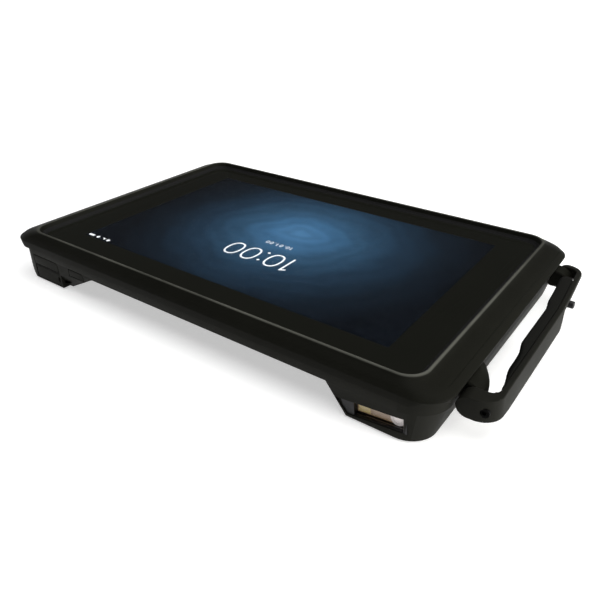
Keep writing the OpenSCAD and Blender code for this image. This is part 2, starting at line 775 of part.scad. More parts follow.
module handle_frame() color([0.19, 0.19, 0.16]) place() difference() {
    union() {
        translate([0, 0, hinge_z - handle_h / 2]) linear_extrude(handle_h) handle_band();
        rod_y(hinge_x, hinge_z, barrel_r, arm_y0, arm_y1);
        rod_y(hinge_x, hinge_z, barrel_r, far_y0, far_y1);
    }
    rod_y(hinge_x, hinge_z, pin_r + run, arm_y0 - 1, arm_y1 + 1);
    rod_y(hinge_x, hinge_z, pin_r + run, far_y0 - 1, far_y1 + 1);
    rod_y(hinge_x, hinge_z, pin_r + 1 + slip, arm_y0 - 1, arm_y0 + 1.6);
    rod_y(hinge_x, hinge_z, pin_r + 1 + slip, far_y1 - 1.2, far_y1 + 1);
    rod_y(screw_x, hinge_z, screw_r + 0.1, arm_y0 - 1, arm_y1 + 1);
    rod_y(screw_x, hinge_z, head_r + 0.1, arm_y0 - 1, arm_y0 + 2);
    translate([out_x - 8, knob_y, knob_z]) rotate([0, 90, 0]) cylinder(r = knob_r + 0.1, h = 12, $fn = 40);
}

// Inner line of the grip: shallow finger grooves, then a lean towards the tip
function grip_inner(y) = y < bend_y
    ? out_x - band_t - grip_w + 0.1 + 0.5 * cos(360 * (y - bend_y) / 36)
    : out_x - band_t - grip_w + 0.6 + (tip_x - tip_r - out_x + band_t + grip_w - 0.6) * (y - bend_y) / (tip_y - bend_y);

module handle_grip() color([0.12, 0.12, 0.10]) place() difference() {
    translate([0, 0, grip_z0])
        linear_extrude(grip_z1 - grip_z0)
            polygon(concat(
                [[out_x - band_t - 0.05, arm_y1], [out_x - band_t - 0.05, bend_y]],
                arc(tip_x, tip_y, tip_r, 0, 180, 12),
                [for (i = [24 : -1 : 0]) let (y = arm_y1 + (bend_y - arm_y1) * i / 24) [grip_inner(y), y]]
            ));
    rod_y(screw_x, hinge_z, screw_r + run, arm_y1 - 1, arm_y1 + 6.2);
    translate([knob_x0 - knob_travel - 0.6, knob_y, knob_z])
        rotate([0, 90, 0])
            cylinder(r = knob_r + 0.2, h = 12, $fn = 40);
}

module hinge_pins() color([0.5, 0.5, 0.5]) place() {
    rod_y(hinge_x, hinge_z, pin_r, arm_y0 + 0.4, lug_y1 - 5);
    rod_y(hinge_x, hinge_z, pin_r + 1, arm_y0 + 0.3, arm_y0 + 1.5);
    rod_y(hinge_x, hinge_z, pin_r, far_lug_y0 + 2.2, far_y1 - 0.3);
    rod_y(hinge_x, hinge_z, pin_r + 1, far_y1 - 1.1, far_y1 - 0.2);
}

module hinge_washers() color([0.75, 0.75, 0.7]) place() difference() {
    union() {
        rod_y(hinge_x, hinge_z, lug_r - 0.2, arm_y1 + 0.1, lug_y0);
        rod_y(hinge_x, hinge_z, lug_r - 0.2, far_lug_y1, far_y0 - 0.1);
    }
    rod_y(hinge_x, hinge_z, pin_r + run, arm_y1 - 1, far_y0 + 1);
}

module grip_screw() color([0.1, 0.1, 0.1]) place() difference() {
    union() {
        rod_y(screw_x, hinge_z, screw_r, arm_y0 + 1, arm_y1 + 6);
        rod_y(screw_x, hinge_z, head_r, arm_y0 + 0.7, arm_y0 + 2);
    }
    translate([screw_x, arm_y0 + 0.6, hinge_z]) rotate([-90, 0, 0]) cylinder(r = 0.9, h = 0.9, $fn = 6);
}

module release_knob() color([0.05, 0.05, 0.05]) place()
    translate([knob_x0, knob_y, knob_z])
        rotate([0, 90, 0])
            cylinder(r = knob_r, h = knob_x1 - knob_x0, $fn = 40);

module release_spring() color([0.7, 0.7, 0.7]) place()
    translate([knob_x0 - knob_travel - 0.55, knob_y, knob_z])
        rotate([0, 90, 0])
            cylinder(r = 0.9, h = 0.5, $fn = 24);

bumper_frame();
rear_housing();
glass_gasket();
cover_glass();
bezel_film();
display_panel();
display_tray();
mid_chassis();
main_board();
processor_shield();
heat_spreader();
main_battery();
battery_pack();
battery_contacts();
battery_door();
door_pin();
door_seal();
power_key();
program_key();
key_membrane();
key_switch_board();
scan_bezel();
scan_window();
scan_engine();
scan_lens();
aimer_led();
scan_board();
front_camera();
light_sensor();
rear_camera();
camera_window();
flash_led();
speakers();
vibration_motor();
antennas();
dock_connector();
dock_contacts();
handle_frame();
handle_grip();
hinge_pins();
hinge_washers();
grip_screw();
release_knob();
release_spring();
case_screws();
rubber_feet();
mount_inserts();
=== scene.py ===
"""Looks of a rugged tablet data collector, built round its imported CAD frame.

Metres throughout. +X runs towards the handle, -Y is the side with the keys and the scanner, +Z is out
of the screen. Sizes are given in millimetres times MM, and places come from the frame's own nodes.
"""

import json
import math

import bmesh
import bpy
import numpy as np
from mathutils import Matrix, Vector

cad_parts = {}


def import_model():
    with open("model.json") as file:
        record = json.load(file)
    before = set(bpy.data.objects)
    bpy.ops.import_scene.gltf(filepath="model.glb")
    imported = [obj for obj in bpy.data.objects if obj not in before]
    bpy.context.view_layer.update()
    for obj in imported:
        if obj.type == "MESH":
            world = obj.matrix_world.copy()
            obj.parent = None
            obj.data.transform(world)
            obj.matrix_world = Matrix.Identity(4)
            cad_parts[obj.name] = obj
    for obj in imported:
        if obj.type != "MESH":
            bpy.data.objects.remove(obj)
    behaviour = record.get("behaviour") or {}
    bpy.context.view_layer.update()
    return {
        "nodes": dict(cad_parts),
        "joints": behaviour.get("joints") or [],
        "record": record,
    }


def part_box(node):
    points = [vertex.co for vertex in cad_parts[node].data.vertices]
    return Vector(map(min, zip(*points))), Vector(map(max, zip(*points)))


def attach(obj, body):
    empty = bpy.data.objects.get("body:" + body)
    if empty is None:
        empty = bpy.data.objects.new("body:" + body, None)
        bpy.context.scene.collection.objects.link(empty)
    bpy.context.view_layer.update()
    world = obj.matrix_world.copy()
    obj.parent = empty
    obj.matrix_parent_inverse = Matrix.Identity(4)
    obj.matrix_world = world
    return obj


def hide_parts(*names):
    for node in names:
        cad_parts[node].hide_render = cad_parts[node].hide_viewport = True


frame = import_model()

MM = 0.001
NODES = frame["nodes"]
RECORD = frame["record"]


def span(node):
    """A CAD node's lowest and highest corner, as arrays."""
    low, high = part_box(node)
    return np.array(low), np.array(high)


# ---- driving places, all from the frame ----

frame_lo, frame_hi = span("bumper_frame")
glass_lo, glass_hi = span("cover_glass")
PANEL_TOP = span("display_panel")[1][2]
handle_lo, handle_hi = span("handle_frame")
washer_lo, washer_hi = span("hinge_washers")
MID_X = (glass_lo[0] + glass_hi[0]) / 2
BROW = 1.2 * MM  # how far the short sides lean out over their own skirt
BROW_RISE = 3.4 * MM  # height above the skirt's foot at which they do so in full
HALF_X = MID_X - frame_lo[0] - BROW
HALF_Y = frame_hi[1]
Z_GLASS = glass_hi[2]
Z_CREST = frame_hi[2]
RIM = Z_CREST - Z_GLASS
SKIRT_DROP = 5.2 * MM  # from the glass down to the skirt's foot
CORNER_R = 10.75 * MM  # mean plan radius of the frame's outer corners
CORNER_R_CHANGE = 1.25 * MM  # added at the right-hand corners, taken off at the left-hand ones
INNER_CORNER_R = 9 * MM  # plan radius at the crest
CREST_HIGHLIGHT_DEPTH = 0.35 * MM  # depth of the painted highlight band at the crest
ARCH_R = 15 * MM  # radius by which a station's place under a corner is measured
SLOPE_X = 9.2 * MM  # width of the sloping face along the short sides
SLOPE_Y = 4.2 * MM  # the same along the long sides
HINGE = np.array(next(j for j in frame["joints"] if j["name"] == "handle_swing")["pos_m"])

# ---- surfaces worked out on grids ----


def grid_faces(rows, columns, close_rows=False, close_columns=False):
    """Quads between neighbouring points of a grid, where row i, column j is point i * columns + j."""
    i, j = np.meshgrid(
        np.arange(rows if close_rows else rows - 1),
        np.arange(columns if close_columns else columns - 1),
        indexing="ij",
    )
    below = (i + 1) % rows
    right = (j + 1) % columns
    corners = [i * columns + j, i * columns + right, below * columns + right, below * columns + j]
    return np.stack(corners, axis=-1).reshape(-1, 4)


def loft(sections, closed=False):
    """Skin over closed sections, an array of (station, point, 3).

    A path that doesn't close gets flat ends."""
    stations, around = sections.shape[:2]
    faces = grid_faces(stations, around, closed, True).tolist()
    if not closed:
        faces.append(list(range(around)))
        faces.append(list(range((stations - 1) * around, stations * around)))
    return sections.reshape(-1, 3), faces


def merged(*parts):
    """Several (points, faces) as one."""
    points, faces, start = [], [], 0
    for some_points, some_faces in parts:
        points.append(some_points)
        faces += [[start + i for i in face] for face in some_faces]
        start += len(some_points)
    return np.concatenate(points), faces


def rounded(corners, radius, steps=4):
    """Rounds the corners of a stack of polygons, an array of (station, corner, 3).

    Corner C becomes the curve C + (1 - t)^2 r a + t^2 r b for t from 0 to 1, where a and b are the unit
    directions to its neighbours, and r is the radius, at most 0.45 of the shorter side beside it."""
    before = np.roll(corners, 1, axis=1) - corners
    after = np.roll(corners, -1, axis=1) - corners
    length_before = np.linalg.norm(before, axis=2, keepdims=True) + 1e-12
    length_after = np.linalg.norm(after, axis=2, keepdims=True) + 1e-12
    limit = 0.45 * np.minimum(length_before, length_after)
    size = np.minimum(np.broadcast_to(np.asarray(radius), corners.shape[:2])[..., None], limit)
    t = np.linspace(0, 1, steps + 1)[None, None, :, None]
    a = (before / length_before * size)[:, :, None]
    b = (after / length_after * size)[:, :, None]
    points = corners[:, :, None] + (1 - t) ** 2 * a + t**2 * b
    return points.reshape(len(corners), -1, 3)


def outline(corners, radius, steps=5):
    """Flat rounded outline, an array of (point, 2), from its corners."""
    flat = np.array(corners, float)
    stack = np.concatenate([flat, np.zeros((len(flat), 1))], axis=1)[None]
    return rounded(stack, radius, steps)[0, :, :2]


def circle(centre, radius, count=40):
    """Points round a circle, anticlockwise."""
    turn = np.linspace(0, 2 * np.pi, count, endpoint=False)
    return np.array(centre) + radius * np.stack([np.cos(turn), np.sin(turn)], axis=1)


def pad(flat, low, high, edge, steps=4, order=(0, 1, 2)):
    """Block over a flat outline with its two rims rounded.

    At angle a of a rim the outline moves inwards along its own normals by edge (1 - sin a), and the level
    from the face is edge (1 - cos a). order says which axis of the block each of (u, v, level) becomes."""
    along = np.roll(flat, -1, axis=0) - np.roll(flat, 1, axis=0)
    along /= np.linalg.norm(along, axis=1, keepdims=True)
    turning = np.sum(flat[:, 0] * np.roll(flat[:, 1], -1) - flat[:, 1] * np.roll(flat[:, 0], -1))
    inward = np.stack([-along[:, 1], along[:, 0]], axis=1) * np.sign(turning)
    a = np.linspace(0, np.pi / 2, steps + 1)
    inset = edge * (1 - np.sin(a))
    rise = edge * (1 - np.cos(a))
    insets = np.concatenate([inset, inset[::-1]])
    levels = np.concatenate([low + rise, (high - rise)[::-1]])
    rings = flat[None] + insets[:, None, None] * inward[None]
    heights = np.broadcast_to(levels[:, None, None], rings.shape[:2] + (1,))
    sections = np.concatenate([rings, heights], axis=2)
    points, faces = loft(sections)
    placed = np.empty_like(points)
    placed[:, list(order)] = points
    return placed, faces


def turned(profile, centre, axis, count=48):
    """Shape turned on a lathe: profile is rows of (distance along the axis, radius), carried round it."""
    profile = np.array(profile, float)
    axis = np.array(axis, float) / np.linalg.norm(axis)
    side = np.cross(axis, [0.0, 0.0, 1.0] if abs(axis[2]) < 0.9 else [1.0, 0.0, 0.0])
    side /= np.linalg.norm(side)
    other = np.cross(axis, side)
    turn = np.linspace(0, 2 * np.pi, count, endpoint=False)
    spokes = np.cos(turn)[:, None] * side + np.sin(turn)[:, None] * other
    sections = np.array(centre) + profile[:, 0, None, None] * axis + profile[:, 1, None, None] * spokes[None]
    return loft(sections)


def smooth(edge0, edge1, x):
    """Smooth step from 0 at edge0 to 1 at edge1."""
    t = np.clip((x - edge0) / (edge1 - edge0), 0, 1)
    return t * t * (3 - 2 * t)


def add_piece(name, shape, material, body, replaces=(), sharp=35):
    """New piece from (points, faces): doubles merged, normals outwards, edges over the sharp angle crisp."""
    points, faces = shape
    mesh = bpy.data.meshes.new(name)
    mesh.from_pydata(points.tolist(), [], faces)
    work = bmesh.new()
    work.from_mesh(mesh)
    bmesh.ops.remove_doubles(work, verts=work.verts, dist=1e-7)
    bmesh.ops.recalc_face_normals(work, faces=work.faces)
    work.to_mesh(mesh)
    work.free()
    return finish_piece(name, mesh, material, body, replaces, sharp)


def finish_piece(name, mesh, material, body, replaces=(), sharp=35):
    """Object for a finished mesh: shading, material, the body it rides on and what it stands for."""
    mesh.shade_smooth()
    mesh.set_sharp_from_angle(angle=math.radians(sharp))
    piece = bpy.data.objects.new(name, mesh)
    bpy.context.scene.collection.objects.link(piece)
    mesh.materials.append(material)
    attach(piece, body)
    if replaces:
        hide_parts(*replaces)
    return piece


def eased_copy(node, name, ease, material, body, shortest=0.8 * MM, sharp=32):
    """Copy of a CAD node with its long crisp edges eased by two small facets."""
    mesh = NODES[node].data.copy()
    mesh.materials.clear()
    work = bmesh.new()
    work.from_mesh(mesh)
    bmesh.ops.remove_doubles(work, verts=work.verts, dist=2e-6)
    bmesh.ops.dissolve_limit(work, angle_limit=math.radians(0.6), verts=work.verts, edges=work.edges)
    crisp = [
        e for e in work.edges
        if e.is_manifold and e.calc_length() > shortest and e.calc_face_angle(0) > math.radians(sharp)
    ]
    bmesh.ops.bevel(
        work, geom=crisp, offset=ease, segments=2, profile=0.5, affect="EDGES", clamp_overlap=True,
    )
    work.to_mesh(mesh)
    work.free()
    return finish_piece(name, mesh, material, body, (node,), 30)


def cut(piece, shape):
    """Takes a closed shape out of a piece."""
    points, faces = shape
    mesh = bpy.data.meshes.new("cutter")
    mesh.from_pydata(points.tolist(), [], faces)
    work = bmesh.new()
    work.from_mesh(mesh)
    bmesh.ops.recalc_face_normals(work, faces=work.faces)
    work.to_mesh(mesh)
    work.free()
    cutter = bpy.data.objects.new("cutter", mesh)
    bpy.context.scene.collection.objects.link(cutter)
    boolean = piece.modifiers.new("cut", "BOOLEAN")
    boolean.operation = "DIFFERENCE"
    boolean.solver = "EXACT"
    boolean.object = cutter
    bpy.context.view_layer.update()
    result = bpy.data.meshes.new_from_object(piece.evaluated_get(bpy.context.evaluated_depsgraph_get()))
    piece.modifiers.clear()
    piece.data = result
    piece.data.shade_smooth()
    piece.data.set_sharp_from_angle(angle=math.radians(35))
    bpy.data.objects.remove(cutter)


# ---- materials ----


class Nodes:
    """One material's nodes, laid out in short lines."""

    def __init__(self, name):
        self.material = bpy.data.materials.new(name)
        self.material.use_nodes = True
        self.tree = self.material.node_tree
        self.shader = self.tree.nodes["Principled BSDF"]
        self.place = self.tree.nodes.new("ShaderNodeTexCoord").outputs["Object"]

    def add(self, kind, inputs=(), **settings):
        """A node with settings; inputs maps a socket's name or number to a value or another socket."""
        node = self.tree.nodes.new("ShaderNode" + kind)
        for key, value in settings.items():
            setattr(node, key, value)
        for key, value in dict(inputs).items():
            if isinstance(value, bpy.types.NodeSocket):
                self.tree.links.new(value, node.inputs[key])
            else:
                node.inputs[key].default_value = value
        return node

    def stretched(self, scale, place=(0, 0, 0), turn=(0, 0, 0)):
        """Object coordinates moved, turned and scaled."""
        values = {"Vector": self.place, "Location": place, "Rotation": turn, "Scale": scale}
        return self.add("Mapping", values).outputs["Vector"]

    def noise(self, scale, detail=3.0, rough=0.55, vector=None):
        values = {"Vector": vector or self.place, "Scale": scale, "Detail": detail, "Roughness": rough}
        return self.add("TexNoise", values).outputs["Fac"]

    def cells(self, scale, vector=None, feature="F1"):
        values = {"Vector": vector or self.place, "Scale": scale}
        return self.add("TexVoronoi", values, feature=feature).outputs["Distance"]

    def spread(self, value, low, high, start=0.0, end=1.0):
        """value from start..end carried to low..high."""
        values = {"Value": value, "From Min": start, "From Max": end, "To Min": low, "To Max": high}
        return self.add("MapRange", values).outputs["Result"]

    def math(self, operation, a, b=0.5):
        return self.add("Math", {0: a, 1: b}, operation=operation).outputs[0]

    def mix(self, factor, a, b):
        values = {0: factor, 6: a, 7: b}
        return self.add("Mix", values, data_type="RGBA").outputs[2]

    def ramp(self, factor, stops):
        """Colour ramp through (position, colour) stops."""
        node = self.add("ValToRGB", {"Fac": factor})
        elements = node.color_ramp.elements
        for position, colour in stops[1:-1]:
            elements.new(position).color = (*colour, 1.0)
        elements[0].color = (*stops[0][1], 1.0)
        elements[-1].color = (*stops[-1][1], 1.0)
        return node.outputs["Color"]

    def set(self, **values):
        """Values or sockets on the shader, named with underscores for spaces."""
        for key, value in values.items():
            target = self.shader.inputs[key.replace("_", " ")]
            if isinstance(value, bpy.types.NodeSocket):
                self.tree.links.new(value, target)
            else:
                target.default_value = value
        return self

    def bump(self, height, strength, distance):
        values = {"Height": height, "Strength": strength, "Distance": distance}
        return self.add("Bump", values).outputs["Normal"]


def shade(colour, factor):
    """A colour with each channel times factor, as four channels."""
    return (*[min(1.0, channel * factor) for channel in colour], 1.0)


def moulded_plastic(name, colour, roughness, specular, grain=0.35 * MM, depth=0.02 * MM, scuff=1.5, crest_highlight=None,
                    glow=0.0):
    """Spark-textured moulding: cell grain with finer noise in it, cloudy tone and gloss, and light scuffs.

    The colour given for the crest is a painted highlight: the tone turns to it in a narrow band along the top
    edge, where the crest catches the light. glow is painted light: how strongly the tone lights itself, for a
    moulding that sits deep behind a window that holds back the light."""
    m = Nodes(name)
    cloud = m.noise(28, 4)
    fine = m.noise(1 / grain * 1.7, 2, 0.6)
    cell = m.cells(1 / grain)
    scratch = m.noise(240, 2, 0.5, m.stretched((1, 6, 1), turn=(0, 0, 0.6)))
    scuffed = m.spread(scratch, 0, 1, 0.68, 0.78)
    base = m.mix(m.spread(cloud, 0, 1, 0.3, 0.7), shade(colour, 0.86), shade(colour, 1.14))
    tone = m.mix(m.math("MULTIPLY", scuffed, 0.25), base, shade(colour, scuff))
    if crest_highlight:
        # Painted highlight: the tone turns lighter in a band along the crest's top edge, where it catches the
        # light.
        level = m.add("SeparateXYZ", {"Vector": m.place}).outputs["Z"]
        highlight_band = m.spread(level, 0, 1, Z_CREST - CREST_HIGHLIGHT_DEPTH, Z_CREST)
        tone = m.mix(m.math("MULTIPLY", highlight_band, m.spread(cloud, 0.5, 1, 0.35, 0.6)), tone, (*crest_highlight, 1.0))
    if glow:
        m.set(Emission_Color=tone, Emission_Strength=glow)
    height = m.math("ADD", m.math("MULTIPLY", cell, 0.7), m.math("MULTIPLY", fine, 0.5))
    m.set(Base_Color=tone, Roughness=m.spread(cloud, roughness - 0.05, roughness + 0.06, 0.3, 0.7))
    m.set(Specular_IOR_Level=specular, Normal=m.bump(height, 0.45, depth))
    return m.material


def rubber(name, colour, roughness=0.75, grain=0.5 * MM):
    """Soft elastomer: low sheen, a pebbled surface and dusty patches."""
    m = Nodes(name)
    dust = m.noise(60, 5, 0.65)
    pebble = m.cells(1 / grain, feature="SMOOTH_F1")
    base = m.mix(m.spread(dust, 0, 1, 0.45, 0.75), shade(colour, 0.9), shade(colour, 1.5))
    m.set(Base_Color=base, Roughness=m.spread(dust, roughness - 0.05, roughness + 0.1, 0.3, 0.7))
    m.set(Specular_IOR_Level=0.2, Normal=m.bump(pebble, 0.4, 0.03 * MM))
    return m.material


def clear_glass(name, tint, roughness=0.02):
    """Polished clear glass with faint smears in its gloss."""
    m = Nodes(name)
    smear = m.noise(14, 4, 0.6, m.stretched((1, 2.4, 1), turn=(0, 0, 0.5)))
    m.set(Base_Color=(*tint, 1.0), Transmission_Weight=1.0, IOR=1.45)
    m.set(Roughness=m.spread(smear, roughness * 0.5, roughness * 2.2, 0.35, 0.7))
    return m.material


def gloss(name, colour, roughness=0.12, specular=0.5, mottle=400, glow=0.0):
    """Glossy moulding or print with a slight orange peel. glow makes up for the light lost under glass."""
    m = Nodes(name)
    peel = m.noise(mottle, 2)
    cloud = m.noise(40, 3)
    base = m.mix(cloud, shade(colour, 0.9), shade(colour, 1.1))
    m.set(Base_Color=base, Roughness=m.spread(cloud, roughness * 0.8, roughness * 1.3, 0.3, 0.7))
    if glow:
        m.set(Emission_Color=base, Emission_Strength=glow)
    m.set(Specular_IOR_Level=specular, Normal=m.bump(peel, 0.15, 0.02 * MM))
    return m.material


def metal(name, colour, roughness=0.3, lay=(1, 40, 1), scale=60):
    """Worked metal: fine lines along one direction, uneven gloss and tone."""
    m = Nodes(name)
    lines = m.noise(scale, 3, 0.6, m.stretched(lay))
    cloud = m.noise(90, 3)
    base = m.mix(lines, shade(colour, 0.82), shade(colour, 1.12))
    m.set(Base_Color=base, Metallic=1.0, Normal=m.bump(lines, 0.2, 0.01 * MM))
    m.set(Roughness=m.spread(cloud, roughness * 0.75, roughness * 1.4, 0.3, 0.7))
    return m.material


def solder_mask(name):
    """Circuit board: green lacquer over a raised maze of tracks, with gold pads."""
    m = Nodes(name)
    tracks = m.spread(m.cells(900, feature="F1"), 0, 1, 0.28, 0.34)
    pads = m.spread(m.cells(420), 1, 0, 0.12, 0.14)
    base = m.mix(tracks, (0.004, 0.05, 0.022, 1), (0.01, 0.12, 0.05, 1))
    m.set(Base_Color=m.mix(pads, base, (0.7, 0.5, 0.18, 1)), Metallic=pads, Roughness=0.35)
    m.set(Normal=m.bump(tracks, 0.3, 0.03 * MM))
    return m.material


def phosphor(name, colour, glow):
    """Yellow phosphor under a clear lens: grains of tone and a faint glow, which is painted light that
    brightens it.
    """
    m = Nodes(name)
    grains = m.cells(2600)
    base = m.mix(grains, shade(colour, 1.15), shade(colour, 0.55))
    m.set(Base_Color=base, Roughness=0.3, Emission_Color=base, Emission_Strength=glow)
    return m.material


def lens_coating(name, centre):
    """Pale coated lens: rings round its own centre, paler in the middle and darker towards its rim, and a
    glow that is painted light, standing in for the light that the scan window holds back.
    """
    m = Nodes(name)
    offset = m.add("VectorMath", {0: m.place, 1: centre}, operation="SUBTRACT").outputs["Vector"]
    away = m.add("VectorMath", {0: offset}, operation="LENGTH").outputs["Value"]
    rings = m.math("MULTIPLY", m.math("SINE", m.math("MULTIPLY", away, 5200.0), 0), 0.5)
    base = m.mix(m.spread(away, 0, 1, 1.2 * MM, 3.2 * MM), (0.62, 0.63, 0.64, 1), (0.34, 0.34, 0.35, 1))
    tone = m.mix(m.spread(rings, 0, 0.35, -0.5, 0.5), base, (0.75, 0.75, 0.77, 1))
    m.set(Base_Color=tone, Emission_Color=tone, Emission_Strength=0.45)
    m.set(Roughness=0.18, Coat_Weight=0.6, Coat_Roughness=0.05)
    return m.material


def lit_picture(name, centre):
    """Lit display: a blue glow that falls off evenly from its centre, with faint rings and grain in it."""
    m = Nodes(name)
    offset = m.add("VectorMath", {0: m.place, 1: centre}, operation="SUBTRACT").outputs["Vector"]
    away = m.add("VectorMath", {0: offset}, operation="LENGTH").outputs["Value"]
    drift = m.noise(22, 4, 0.6)
    fall = m.math("ADD", m.spread(away, 0, 1, 0, 92 * MM), m.spread(drift, -0.035, 0.035, 0.3, 0.7))
    glow = m.ramp(fall, [
        (0.00, (0.076, 0.205, 0.380)), (0.16, (0.052, 0.150, 0.285)), (0.33, (0.030, 0.082, 0.148)),
        (0.55, (0.0135, 0.0345, 0.063)), (0.78, (0.0045, 0.010, 0.0175)), (1.00, (0.0012, 0.0024, 0.0045)),
    ])
    swirl = m.add("TexWave", {"Vector": m.stretched((1, 1.25, 1), place=tuple(-c for c in centre)),
                              "Scale": 26.0, "Distortion": 9.0, "Detail": 3.0, "Detail Scale": 1.4},
                  wave_type="RINGS", rings_direction="Z").outputs["Fac"]
    picture = m.mix(m.spread(swirl, 0.0, 0.28), glow, m.mix(m.noise(300, 2), (0, 0, 0, 1), glow))
    m.set(Base_Color=(0.004, 0.005, 0.007, 1), Roughness=0.5, Specular_IOR_Level=0.0)
    m.set(Emission_Color=picture, Emission_Strength=1.25)
    return m.material


def white_light(name, strength):
    """Lit white marks on the display, with the display's fine grid in them."""
    m = Nodes(name)
    grid = m.noise(1500, 1)
    colour = m.mix(m.spread(grid, 0, 1, 0.3, 0.7), (0.86, 0.93, 1.0, 1), (1, 1, 1, 1))
    m.set(Base_Color=(0.5, 0.5, 0.5, 1), Emission_Color=colour, Emission_Strength=strength)
    return m.material


lens_lo, lens_hi = span("scan_lens")
glow_centre = (MID_X + 1.0 * MM, 12 * MM, PANEL_TOP)
FINISHES = {
    # The frame's crest colour is a painted highlight along its top edge.
    "frame_plastic": moulded_plastic("frame_plastic", (0.0058, 0.0059, 0.0043), 0.55, 0.04,
                                     crest_highlight=(0.085, 0.086, 0.074)),
    "housing_plastic": moulded_plastic("housing_plastic", (0.0098, 0.0098, 0.0078), 0.55, 0.05, 0.3 * MM),
    "grip_rubber": moulded_plastic("grip_rubber", (0.0065, 0.0065, 0.0056), 0.6, 0.05, 0.45 * MM, 0.035 * MM),
    "seal_rubber": rubber("seal_rubber", (0.0022, 0.0022, 0.0022)),
    "foot_rubber": rubber("foot_rubber", (0.012, 0.012, 0.012)),
    "cover_glass": clear_glass("cover_glass", (0.97, 0.98, 0.99)),
    "scan_glass": clear_glass("scan_glass", (0.90, 0.84, 0.82)),
    "camera_glass": gloss("camera_glass", (0.004, 0.004, 0.006), 0.05),
    # The print's glow is painted light, standing in for the light that the cover glass holds back.
    "bezel_ink": gloss("bezel_ink", (0.0085, 0.0088, 0.0066), 0.35, 0.1, glow=1.0),
    "display": lit_picture("display", glow_centre),
    "bare_metal": metal("bare_metal", (0.55, 0.55, 0.56)),
    "chassis_metal": metal("chassis_metal", (0.50, 0.51, 0.53), 0.42, (1, 1, 1), 500),
    "pin_metal": metal("pin_metal", (0.35, 0.35, 0.35), 0.25, (40, 1, 40)),
    "screw_metal": metal("screw_metal", (0.004, 0.004, 0.004), 0.6, (1, 1, 1), 800),
    "board": solder_mask("board"),
    "contact_gold": metal("contact_gold", (0.80, 0.60, 0.24), 0.22),
    "insert_brass": metal("insert_brass", (0.75, 0.56, 0.26), 0.3, (1, 1, 30)),
    "cell_wrap": moulded_plastic("cell_wrap", (0.03, 0.03, 0.035), 0.4, 0.4, 1.5 * MM),
    # Its glow is painted light, standing in for the light that the scan window holds back.
    "engine_body": moulded_plastic("engine_body", (0.17, 0.125, 0.078), 0.45, 0.3, 0.4 * MM, glow=0.6),
    "lens_glass": lens_coating("lens_glass", tuple((lens_lo + lens_hi) / 2)),
    # The phosphor glow on these lenses is painted light that brightens them.
    "led_lens": phosphor("led_lens", (0.36, 0.30, 0.10), 0.5),
    "flash_lens": phosphor("flash_lens", (0.75, 0.68, 0.40), 0.05),
    "black_module": moulded_plastic("black_module", (0.006, 0.006, 0.007), 0.45, 0.3),
}
for part in RECORD["subparts"]:
    node = NODES[part["node"]]
    node.data.materials.clear()
    node.data.materials.append(FINISHES[part["material_slot"]])

# ---- bumper frame and seal ----


def ring_stations(arc_steps=14, long_steps=40, short_steps=26):
    """Stations round a rounded rectangle, anticlockwise from +X.

    Each has the signs (between -1 and 1) of where the corner's centre lies, and the angle outwards. A side
    slides the signs from one corner to the next at one angle, and a corner turns the angle at fixed signs."""
    signs = [(1, 1), (-1, 1), (-1, -1), (1, -1)]
    rows = []
    for k, (sx, sy) in enumerate(signs):
        turn = np.radians(90) * (k + np.linspace(0, 1, arc_steps + 1))
        rows.append(np.stack([np.full_like(turn, sx), np.full_like(turn, sy), turn], axis=1))
        nx, ny = signs[(k + 1) % 4]
        t = np.linspace(0, 1, (long_steps if k % 2 == 0 else short_steps) + 1)[1:-1]
        rows.append(np.stack([sx + (nx - sx) * t, sy + (ny - sy) * t, np.full_like(t, turn[-1])], axis=1))
    return np.concatenate(rows)


def ring_surface(rows, lift):
    """Closed ring whose section is rows of (share of the slope, inset, level above the glass, share of lift).

    A row lies on a rounded rectangle: half sizes shrink by share times the slope of that side plus the
    inset, and the corner radius goes with share from its outer to its inner value, less 0.64 inset. The
    right-hand corners are rounder than the left-hand ones. The short sides lean out by up to BROW over
    the first BROW_RISE above the skirt's foot, and less towards the crest. lift is how far each station's
    skirt is raised."""
    rows = np.array(rows)[:, None]
    share, inset, level, lifted = rows[..., 0], rows[..., 1] * MM, rows[..., 2] * MM, rows[..., 3]
    sx, sy, turn = ring_stations().T
    half_x = HALF_X - share * SLOPE_X - inset
    half_y = HALF_Y - share * SLOPE_Y - inset
    outer_r = CORNER_R + CORNER_R_CHANGE * sx
    radius = outer_r + share * (INNER_CORNER_R - outer_r) - 0.64 * inset
    brow = BROW * (1 - share) * np.clip((level + SKIRT_DROP) / BROW_RISE, 0, 1)
    x = MID_X + sx * (half_x - radius) + (radius + brow) * np.cos(turn)
    y = sy * (half_y - radius) + radius * np.sin(turn)
    z = Z_GLASS + level + lifted * lift
    return loft(np.stack([x, y, np.broadcast_to(z, x.shape)], axis=-1), closed=True)


def corner_lift(height=3.0 * MM, arch=16 * MM):
    """How far the skirt is cut up: a round arch under the middle of each corner, along its tangent."""
    sx, sy, turn = ring_stations().T
    at_corner = (np.abs(sx) == 1) & (np.abs(sy) == 1)
    away = ARCH_R * np.sin((turn % (np.pi / 2)) - np.pi / 4)
    rise = np.sqrt(np.maximum(arch**2 - away**2, 0)) - (arch - height)
    return np.where(at_corner, np.maximum(rise, 0), 0)


def curve_rows(a, c, b, steps=6):
    """Rows along the quadratic curve from a to b with c as its middle control point."""
    t = np.linspace(0, 1, steps + 1)[:, None]
    return ((1 - t) ** 2 * np.array(a) + 2 * t * (1 - t) * np.array(c) + t**2 * np.array(b)).tolist()


